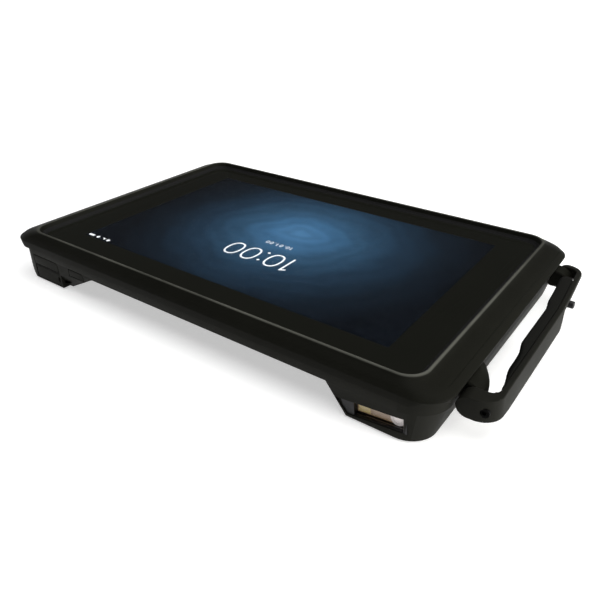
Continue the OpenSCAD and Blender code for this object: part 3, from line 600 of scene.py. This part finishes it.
def bumper_frame():
    """Frame round the screen: upright skirt, shoulder, sloping face, a narrow crest and the inner wall."""
    bottom = -SKIRT_DROP / MM
    top = RIM / MM
    rows = curve_rows((0, 0.5, bottom, 1), (0, 0, bottom, 1), (0, 0, bottom + 0.45, 1), 3)
    rows += [[0, 0, -3.0, 0.5]]
    rows += curve_rows((0, 0, -2.05, 0), (0, 0, -1.65, 0), (0.05, 0, -1.4, 0), 4)
    rows += [[0.25, 0, 0.1, 0], [0.5, 0, 1.07, 0], [0.75, 0, 1.96, 0]]
    rows += curve_rows((0.95, 0, 2.65, 0), (1, 0.15, top - 0.12, 0), (1, 0.65, top, 0))
    rows += curve_rows((1, 1.0, top, 0), (1, 1.38, top, 0), (1, 1.55, top - 0.4, 0), 4)
    rows += [[1, 2.75, 0.4, 0], [1, 2.8, 0.3, 0]]
    rows += [[0, 2.9, 0.3, 0], [0, 2.9, bottom + 0.3, 1], [0, 2.6, bottom, 1]]
    shape = ring_surface(rows, corner_lift())
    add_piece("bumper_frame_moulding", shape, FINISHES["frame_plastic"], "tablet",
              ("bumper_frame",))


def housing_corner_caps():
    """Housing's own wall showing through the arches in the frame's skirt, as a thin ring inside the skirt."""
    low = -SKIRT_DROP / MM - 0.4
    high = -SKIRT_DROP / MM + 0.05
    rows = [[0, 0.55, low, 0], [0, 0.55, high, 1], [0, 1.6, high, 1], [0, 1.6, low, 0]]
    shape = ring_surface(rows, corner_lift())
    add_piece("housing_corner_caps", shape, FINISHES["housing_plastic"], "tablet")


def glass_seal():
    """Black seal between the frame's inner wall and the glass, with a rounded bead on top."""
    rows = [[1, 2.75, 0.0, 0], [1, 2.2, 1.0, 0]]
    rows += curve_rows((1, 2.25, 1.25, 0), (1, 2.5, 1.4, 0), (1, 2.7, 1.15, 0), 3)
    rows += curve_rows((1, 3.1, 0.5, 0), (1, 3.3, 0.3, 0), (1, 3.9, 0.25, 0), 3)
    rows += [[1, 4.1, 0.0, 0]]
    shape = ring_surface(rows, 0)
    add_piece("glass_seal_bead", shape, FINISHES["seal_rubber"], "tablet", ("glass_gasket",))


def lug(name, y0, y1, reach, taper):
    """Hinge lug: a flat-topped block that rolls over the pin.

    Its outer end stands reach past the hinge, and in plan it draws back by taper times t^1.6, where t goes
    from 0 at the end of the part that stays full to 1 at y1."""
    root = HALF_X + MID_X - 1.2 * MM
    x, z = HINGE[0], HINGE[2]
    a = np.linspace(0, np.pi / 2, 6)
    edge = 0.5 * MM
    y = np.concatenate([y0 + edge * (1 - np.cos(a)), np.linspace(y0 + 1.5 * MM, y1 - 1.2 * MM, 12),
                        (y1 - edge * (1 - np.cos(a)))[::-1]])
    shrink = np.interp(y, [y0, y0 + edge, y1 - edge, y1], [edge, 0, 0, edge])
    full = y0 + 4.9 * MM
    outer = x + reach - taper * np.clip((y - full) / (y1 - full), 0, 1) ** 1.6 - shrink
    back = np.full_like(y, root)
    stack = np.stack([
        np.stack([back, y, z + 5.0 * MM - shrink], axis=1),
        np.stack([np.maximum(root + 0.5 * MM, outer - 4.2 * MM), y, z + 4.5 * MM - shrink], axis=1),
        np.stack([np.maximum(root + 0.8 * MM, outer), y, np.full_like(y, z + 2.0 * MM)], axis=1),
        np.stack([np.maximum(root + 0.8 * MM, outer), y, np.full_like(y, z - 1.6 * MM)], axis=1),
        np.stack([np.maximum(root + 0.5 * MM, outer - 1.8 * MM), y, z - 3.3 * MM + shrink], axis=1),
        np.stack([back, y, z - 3.3 * MM + shrink], axis=1),
    ], axis=1)
    shape = loft(rounded(stack, 1.6 * MM, 5))
    add_piece(name, shape, FINISHES["frame_plastic"], "tablet")


bumper_frame()
housing_corner_caps()
glass_seal()
WASHER = 0.3 * MM
NEAR_LUG_LENGTH = 17.4 * MM
FAR_LUG_LENGTH = 8 * MM
LUG_NEAR_Y = washer_lo[1] + WASHER
LUG_FAR_Y = washer_hi[1] - WASHER
lug("handle_lug_near", LUG_NEAR_Y, LUG_NEAR_Y + NEAR_LUG_LENGTH, 2.5 * MM, 5.3 * MM)
lug("handle_lug_far", LUG_FAR_Y - FAR_LUG_LENGTH, LUG_FAR_Y, 3.3 * MM, 0.0)

# ---- housing, keys and door ----


def key(node, name, corner_r):
    """Key: a block with one large corner and soft rims, set in the near side."""
    low, high = span(node)
    x0, z0, x1, z1 = low[0], low[2], high[0], high[2]
    flat = outline([[x0, z0], [x1, z0], [x1, z1], [x0, z1]], np.array([[0.4, 0.4, corner_r, 0.4]]) * MM)
    shape = pad(flat, low[1], high[1], 0.3 * MM, order=(0, 2, 1))
    body = "power_button" if node == "power_key" else "program_button"
    add_piece(name, shape, FINISHES["housing_plastic"], body, (node,))


eased_copy("rear_housing", "rear_housing_moulding", 0.3 * MM, FINISHES["housing_plastic"], "tablet")
key("power_key", "power_key_cap", 2.4)
key("program_key", "program_key_cap", 2.4)
eased_copy("battery_door", "battery_door_moulding", 0.25 * MM, FINISHES["housing_plastic"],
           "battery_hatch")
eased_copy("rubber_feet", "rubber_feet_moulding", 0.4 * MM, FINISHES["foot_rubber"], "tablet",
           0.05 * MM)

# ---- handle ----

OUT_X = handle_hi[0]
ARM_NEAR_Y = handle_lo[1]
ARM_FAR_Y = handle_hi[1]
ARM_LENGTH = washer_lo[1] - 0.1 * MM - ARM_NEAR_Y
FAR_ARM_LENGTH = ARM_FAR_Y - washer_hi[1] - 0.1 * MM
ARM_END = 4.4 * MM
BAND = 2.6 * MM
NEAR_BEND = 8 * MM
FAR_BEND = 7.6 * MM
KINK_Y = ARM_FAR_Y - 46.4 * MM
LEAN = 2.4 * MM
BAR_TOP = handle_hi[2]
BAR_LOW = handle_lo[2]
SCREW_HOLE_R = 1.5 * MM
SCREW_HOLE_DEPTH = 4.6 * MM
OUTER_RISE = 7.4 * MM  # how far the bar's lower outer edge comes up past the kink
INNER_RISE = 4.6 * MM  # the same for its lower inner edge
FOOT_FLARE = 0.8 * MM  # how far the bar's outer face leans out at its foot
TOP_DRAW = 0.3 * MM  # how far it draws back at its top
GRIP_TIP = 3.4 * MM  # length of the grip's round end
GRIP_EDGE = 0.25  # millimetres that the grip stands in from the band at its near end
GRIP_SWELLS = [(2.75, -51, -33), (1.4, -25, -16), (0.9, 13, 23)]  # millimetres gained, from y, to y


def handle_lines():
    """Outer and inner line of the handle in plan, point for point, from the near arm's end to the far.

    Both run along the near arm, round its bend, along the bar, lean in past the kink, round the far bend and
    back along the far arm. The last column is the distance in from the arm's round end, or a large number."""
    tip = np.array([0, 0.12, 0.5, 1.1, 2.0, 3.1, 4.2]) * MM
    back = HINGE[0] - ARM_END
    rows = []
    bend_x = OUT_X - NEAR_BEND
    inner_bend = 3.6 * MM
    inner_x = OUT_X - BAND - inner_bend
    for d in tip:
        rows.append([back + d, ARM_NEAR_Y, back + d, ARM_NEAR_Y + ARM_LENGTH, d])
    for u in (0.3, 0.65):
        x = back + tip[-1]
        rows.append([x + u * (bend_x - x), ARM_NEAR_Y, x + u * (inner_x - x), ARM_NEAR_Y + ARM_LENGTH, 1.0])
    for a in np.linspace(-np.pi / 2, 0, 15):
        rows.append([
            bend_x + NEAR_BEND * np.cos(a), ARM_NEAR_Y + NEAR_BEND + NEAR_BEND * np.sin(a),
            inner_x + inner_bend * np.cos(a),
            ARM_NEAR_Y + ARM_LENGTH + inner_bend + inner_bend * np.sin(a), 1.0,
        ])
    for y in np.linspace(ARM_NEAR_Y + ARM_LENGTH + inner_bend + 2 * MM, KINK_Y - 3 * MM, 18):
        rows.append([OUT_X, y, OUT_X - BAND, y, 1.0])
    far_start = ARM_FAR_Y - FAR_BEND
    for y in np.linspace(KINK_Y - 2 * MM, far_start, 36)[:-1]:
        x = OUT_X - LEAN * np.maximum(0, (y - KINK_Y) / (far_start - KINK_Y)) ** 1.2
        rows.append([x, y, x - BAND, y, 1.0])
    centre_x = OUT_X - LEAN - FAR_BEND
    inner_r = FAR_BEND - FAR_ARM_LENGTH
    for a in np.linspace(0, np.pi / 2, 16):
        rows.append([
            centre_x + FAR_BEND * np.cos(a), far_start + FAR_BEND * np.sin(a),
            centre_x + (FAR_BEND - BAND) * np.cos(a), far_start + inner_r * np.sin(a), 1.0,
        ])
    for d in tip[::-1]:
        rows.append([back + d, ARM_FAR_Y, back + d, ARM_FAR_Y - FAR_ARM_LENGTH, d])
    return np.array(rows)


def handle_frame():
    """Handle's frame: both arms and the outer band, whose outer face leans out towards its foot. Its lower
    outer edge rises past the kink, so that the far half is cut away under its outside, and comes down again
    round the far bend."""
    lines = handle_lines()
    ox, oy, ix, iy, in_from_end = lines.T
    middle = (BAR_TOP + BAR_LOW) / 2
    half = (BAR_TOP - BAR_LOW) / 2
    near_end = np.clip(1 - in_from_end / ARM_END, 0, 1)
    height = half * np.sqrt(1 - near_end**2) + 0.02 * MM
    top = middle + height
    far_side = np.arctan2(oy - (ARM_FAR_Y - FAR_BEND), ox - (OUT_X - LEAN - FAR_BEND))
    rise = smooth(KINK_Y - 2.4 * MM, KINK_Y + 4.4 * MM, oy)
    rise *= 1 - smooth(np.radians(38), np.radians(80), np.where(oy > ARM_FAR_Y - FAR_BEND, far_side, 0))
    rise = np.where((in_from_end < 1) & (oy > 0), 0, rise)
    outward = np.clip((ox - ix) / np.hypot(ox - ix, oy - iy), 0, 1)
    low_x = ox + FOOT_FLARE * outward * (1 - 0.8 * rise)
    top_x = ox - TOP_DRAW * outward
    outer_low = middle - height + rise * OUTER_RISE
    inner_low = middle - height + rise * INNER_RISE
    stack = np.stack([
        np.stack([top_x, oy, top], axis=1), np.stack([low_x, oy, outer_low], axis=1),
        np.stack([ix, iy, inner_low], axis=1), np.stack([ix, iy, top], axis=1),
    ], axis=1)
    shape = loft(rounded(stack, np.array([[0.55, 0.8, 0.5, 0.5]]) * MM, 4))
    piece = add_piece("handle_frame_moulding", shape, FINISHES["housing_plastic"], "handle",
                      ("handle_frame",))
    screw_lo, screw_hi = span("grip_screw")
    centre = (screw_lo + screw_hi) / 2
    start = (centre[0], ARM_NEAR_Y - SCREW_HOLE_R, centre[2])
    cut(piece, turned([(0, SCREW_HOLE_R), (SCREW_HOLE_DEPTH, SCREW_HOLE_R)], start, (0, 1, 0)))


def handle_grip():
    """Soft grip inside the band: its inner side swells in three steps from the near end, slopes away below
    the top there, and ends in a round tip inside the far bend."""
    low, high = span("handle_grip")
    tip_start = high[1] - GRIP_TIP
    y = np.concatenate([np.linspace(-50.5 * MM, 36 * MM, 70), np.linspace(37 * MM, tip_start, 8)])
    tip = tip_start + GRIP_TIP * np.sin(np.linspace(0.12, 1.0, 9) * np.pi / 2)
    y = np.concatenate([y, tip])
    body_y = y / MM
    lean = LEAN * np.maximum(0, (y - KINK_Y) / (ARM_FAR_Y - FAR_BEND - KINK_Y)) ** 1.2
    outer = OUT_X - BAND - lean - 0.02 * MM
    reach = (GRIP_EDGE + sum(size * smooth(start, end, body_y) for size, start, end in GRIP_SWELLS)) * MM
    end = np.clip((y - tip_start) / GRIP_TIP, 0, 1)
    tip_round = np.sqrt(np.maximum(1 - end**2, 0.004))
    tip_gap = smooth(34, 42, body_y) * 0.15 * MM
    centre = outer - tip_gap - (reach - tip_gap) / 2
    half = (reach + 0.4 * MM * smooth(36, 44, body_y)) / 2 * tip_round
    right = np.where(body_y < 34, outer, centre + half)
    left = np.where(body_y < 34, outer - reach, centre - half)
    top = BAR_TOP - 0.15 * MM
    slope = (2.6 * (1 - smooth(-46, -16, body_y)) + 0.7) * MM
    facet = np.minimum(slope, 0.6 * (right - left))
    rise = smooth(KINK_Y - 2.4 * MM, KINK_Y + 4.4 * MM, y)
    base = BAR_LOW + 0.3 * MM
    inner_low = base + rise * 1.2 * MM
    outer_low = base + rise * 4.4 * MM
    flat = np.full_like(y, top)
    stack = np.stack([
        np.stack([right, y, flat], axis=1), np.stack([right, y, outer_low], axis=1),
        np.stack([left, y, inner_low], axis=1), np.stack([left, y, flat - facet], axis=1),
        np.stack([left + facet, y, flat], axis=1),
    ], axis=1)
    shape = loft(rounded(stack, np.array([[0.3, 0.6, 1.2, 0.9, 0.5]]) * MM, 4))
    add_piece("handle_grip_rubber", shape, FINISHES["grip_rubber"], "handle", ("handle_grip",))


def release_knob():
    """Release knob: a short stud with a domed end and three fine rings cut round it."""
    low, high = span("release_knob")
    radius = (high[1] - low[1]) / 2
    length = high[0] - low[0]
    a = np.linspace(0, np.pi / 2, 7)
    profile = [(0, 0.02 * MM), (0, radius * 0.9), (0.1 * MM, radius)]
    for ring in (1.0, 1.5, 2.0):
        d = length - ring * MM
        profile += [(d - 0.12 * MM, radius), (d, radius - 0.12 * MM), (d + 0.12 * MM, radius)]
    profile = sorted(profile[:3]) + sorted(profile[3:])
    profile += [(length - 0.6 * MM + 0.6 * MM * np.sin(t), radius - 0.7 * MM * (1 - np.cos(t))) for t in a]
    profile += [(length, 0.02 * MM)]
    centre = (low[0], (low[1] + high[1]) / 2, (low[2] + high[2]) / 2)
    shape = turned(profile, centre, (1, 0, 0))
    add_piece("release_knob_stud", shape, FINISHES["black_module"], "release_button",
              ("release_knob",))


handle_frame()
handle_grip()
release_knob()

# ---- what the display shows ----

MARK_LOW = PANEL_TOP + 0.02 * MM
MARK_HIGH = PANEL_TOP + 0.08 * MM
MARKS = white_light("lit_marks", 1.0)


def stroke(outer_line, inner_line):
    """Flat closed band between two closed lines of the same number of points."""
    outer_edges = [(outer_line, MARK_LOW), (outer_line, MARK_HIGH)]
    levels = outer_edges + [(inner_line, MARK_HIGH), (inner_line, MARK_LOW)]
    sections = np.stack([np.column_stack([line, np.full(len(line), z)]) for line, z in levels])
    return loft(sections, closed=True)


def nought(centre, half_w, half_h, thick):
    """Numeral 0: an upright oval ring whose outline is a rounded ellipse of power 2.3."""
    turn = np.linspace(0, 2 * np.pi, 56, endpoint=False)
    c, s = np.cos(turn), np.sin(turn)
    shape = np.stack([np.sign(c) * np.abs(c) ** (2 / 2.3), np.sign(s) * np.abs(s) ** (2 / 2.3)], axis=1)
    outer = np.array(centre) + shape * [half_w, half_h]
    inner = np.array(centre) + shape * [half_w - thick, half_h - thick]
    return stroke(outer, inner)


def bar(points, thick):
    """Straight stroke between two points with square ends."""
    a, b = np.array(points, float)
    along = (b - a) / np.linalg.norm(b - a)
    side = np.array([-along[1], along[0]]) * thick / 2
    return pad(np.array([a - side, b - side, b + side, a + side]), MARK_LOW, MARK_HIGH, 0.005 * MM, 1)


def one(centre, half_h, flag, thick):
    """Numeral 1: a stem and a short flag. Its top lies towards -Y, as all the marks are read from +Y."""
    x, y = centre
    top = y - half_h
    stem = bar([(x, top), (x, y + half_h)], thick)
    return merged(stem, bar([(x, top + thick / 2), (x + flag, top + 0.7 * flag)], thick))


def dot(centre, radius):
    """Flat round dot."""
    return pad(circle(centre, radius, 24), MARK_LOW, MARK_HIGH, 0.005 * MM, 1)


def clock():
    """Hour in thin numerals: one, nought, colon, nought, nought, read from +Y, so +X is its left."""
    y = -21.6 * MM
    tall = 6.6 * MM
    thick = 1.0 * MM
    parts = [one((MID_X + 17.3 * MM, y), tall, 2.6 * MM, thick)]
    parts += [nought((MID_X + x * MM, y), 4.3 * MM, tall, thick) for x in (9.5, -4.7, -15.2)]
    parts += [dot((MID_X + 2.5 * MM, y + dy * MM), 0.75 * MM) for dy in (-3.6, 5.2)]
    add_piece("clock_marks", merged(*parts), MARKS, "tablet")


def date_line():
    """Small generic day line above the hour: noughts, ones and dots."""
    y = -6.3 * MM
    parts = []
    x = 9.2
    for sign in "10.01.00":
        if sign == "0":
            parts.append(nought((MID_X + (x - 0.9) * MM, y), 0.85 * MM, 1.35 * MM, 0.32 * MM))
            x -= 2.45
        elif sign == "1":
            parts.append(one((MID_X + (x - 1.0) * MM, y), 1.35 * MM, 0.6 * MM, 0.32 * MM))
            x -= 2.1
        else:
            parts.append(dot((MID_X + (x - 0.5) * MM, y + 1.15 * MM), 0.26 * MM))
            x -= 1.5
    add_piece("date_marks", merged(*parts), MARKS, "tablet")


def status_marks():
    """Generic status marks in the corner: a filled cell, two discs and a wedge."""
    y = -52.6 * MM
    x = MID_X
    cell = pad(outline([[x - 88.3 * MM, y - 0.8 * MM], [x - 84.2 * MM, y - 0.8 * MM],
                        [x - 84.2 * MM, y + 0.8 * MM], [x - 88.3 * MM, y + 0.8 * MM]], 0.4 * MM),
               MARK_LOW, MARK_HIGH, 0.005 * MM, 1)
    wedge = pad(np.array([[x - 78.4 * MM, y + 0.9 * MM], [x - 76.2 * MM, y + 0.9 * MM],
                          [x - 76.2 * MM, y - 0.9 * MM]]),
                MARK_LOW, MARK_HIGH, 0.005 * MM, 1)
    discs = [dot((x + dx * MM, y), r * MM) for dx, r in ((-81.3, 1.0), (-73.6, 1.05))]
    add_piece("status_marks", merged(cell, wedge, *discs), MARKS, "tablet")


clock()
date_line()
status_marks()

# ---- camera, light and floor ----


def look_camera(place, back, lens):
    camera = bpy.data.objects.new("camera", bpy.data.cameras.new("camera"))
    camera.data.lens = lens
    camera.data.sensor_width = 36
    camera.data.clip_start = 0.01
    camera.location = place
    camera.rotation_euler = Vector(back).to_track_quat("Z", "Y").to_euler()
    bpy.context.scene.collection.objects.link(camera)
    bpy.context.scene.camera = camera


def soft_light(name, place, aim, size, power, colour=(1, 1, 1)):
    light = bpy.data.objects.new(name, bpy.data.lights.new(name, "AREA"))
    light.data.shape = "SQUARE"
    light.data.size = size
    light.data.energy = power
    light.data.color = colour
    light.location = place
    light.rotation_euler = (Vector(place) - Vector(aim)).to_track_quat("Z", "Y").to_euler()
    bpy.context.scene.collection.objects.link(light)


def floor(flat=3.2, cove=1.0, steps=10):
    """Round pale floor whose rim sweeps up a quarter circle into a low wall, a little self-lit all over."""
    a = np.linspace(0, np.pi / 2, steps)
    radius = np.concatenate([[0.02, 1.0, 2.0], flat + cove * np.sin(a)])
    level = np.concatenate([[0, 0, 0], cove * (1 - np.cos(a))])
    turn = np.linspace(0, 2 * np.pi, 72, endpoint=False)
    x = radius[:, None] * np.cos(turn)
    y = radius[:, None] * np.sin(turn)
    points = np.stack([x, y, np.broadcast_to(level[:, None], x.shape)], axis=-1).reshape(-1, 3)
    faces = grid_faces(len(radius), len(turn), close_columns=True).tolist()
    faces.append(list(range(len(turn))))
    mesh = bpy.data.meshes.new("floor")
    mesh.from_pydata(points.tolist(), [], faces)
    mesh.shade_smooth()
    piece = bpy.data.objects.new("floor", mesh)
    bpy.context.scene.collection.objects.link(piece)
    m = Nodes("pale_floor")
    tone = m.noise(3, 2)
    m.set(Base_Color=m.mix(tone, (0.70, 0.70, 0.70, 1), (0.73, 0.73, 0.73, 1)), Roughness=0.9)
    m.set(Specular_IOR_Level=0.0, Emission_Color=(1, 1, 1, 1), Emission_Strength=0.5)
    mesh.materials.append(m.material)


def sky_light(power, spread):
    """Soft light from straight above, even over the whole floor."""
    light = bpy.data.objects.new("overhead", bpy.data.lights.new("overhead", "SUN"))
    light.data.energy = power
    light.data.angle = math.radians(spread)
    light.location = (0, 0, 2)
    bpy.context.scene.collection.objects.link(light)


def world(strength):
    scene_world = bpy.data.worlds.new("studio")
    scene_world.use_nodes = True
    background = scene_world.node_tree.nodes["Background"]
    background.inputs["Color"].default_value = (1, 1, 1, 1)
    background.inputs["Strength"].default_value = strength
    bpy.context.scene.world = scene_world


azimuth, elevation = math.radians(35.71), math.radians(29.82)
flat_share = math.cos(elevation)
view_back = (math.sin(azimuth) * flat_share, -math.cos(azimuth) * flat_share, math.sin(elevation))
screen_middle = np.array([MID_X, 0, Z_GLASS])
CAMERA_OFFSET = np.array([173.4, -228.4, 128.7]) * MM
LENS = 36.8
look_camera(tuple(screen_middle + CAMERA_OFFSET), view_back, LENS)
floor()
world(0.025)
sky_light(2.2, 60)
soft_light("right_key", (1.25, 0.25, 0.42), (0.0, 0.0, 0.02), 0.7, 24, (1.0, 0.99, 0.95))
bpy.context.scene.view_settings.view_transform = "Standard"
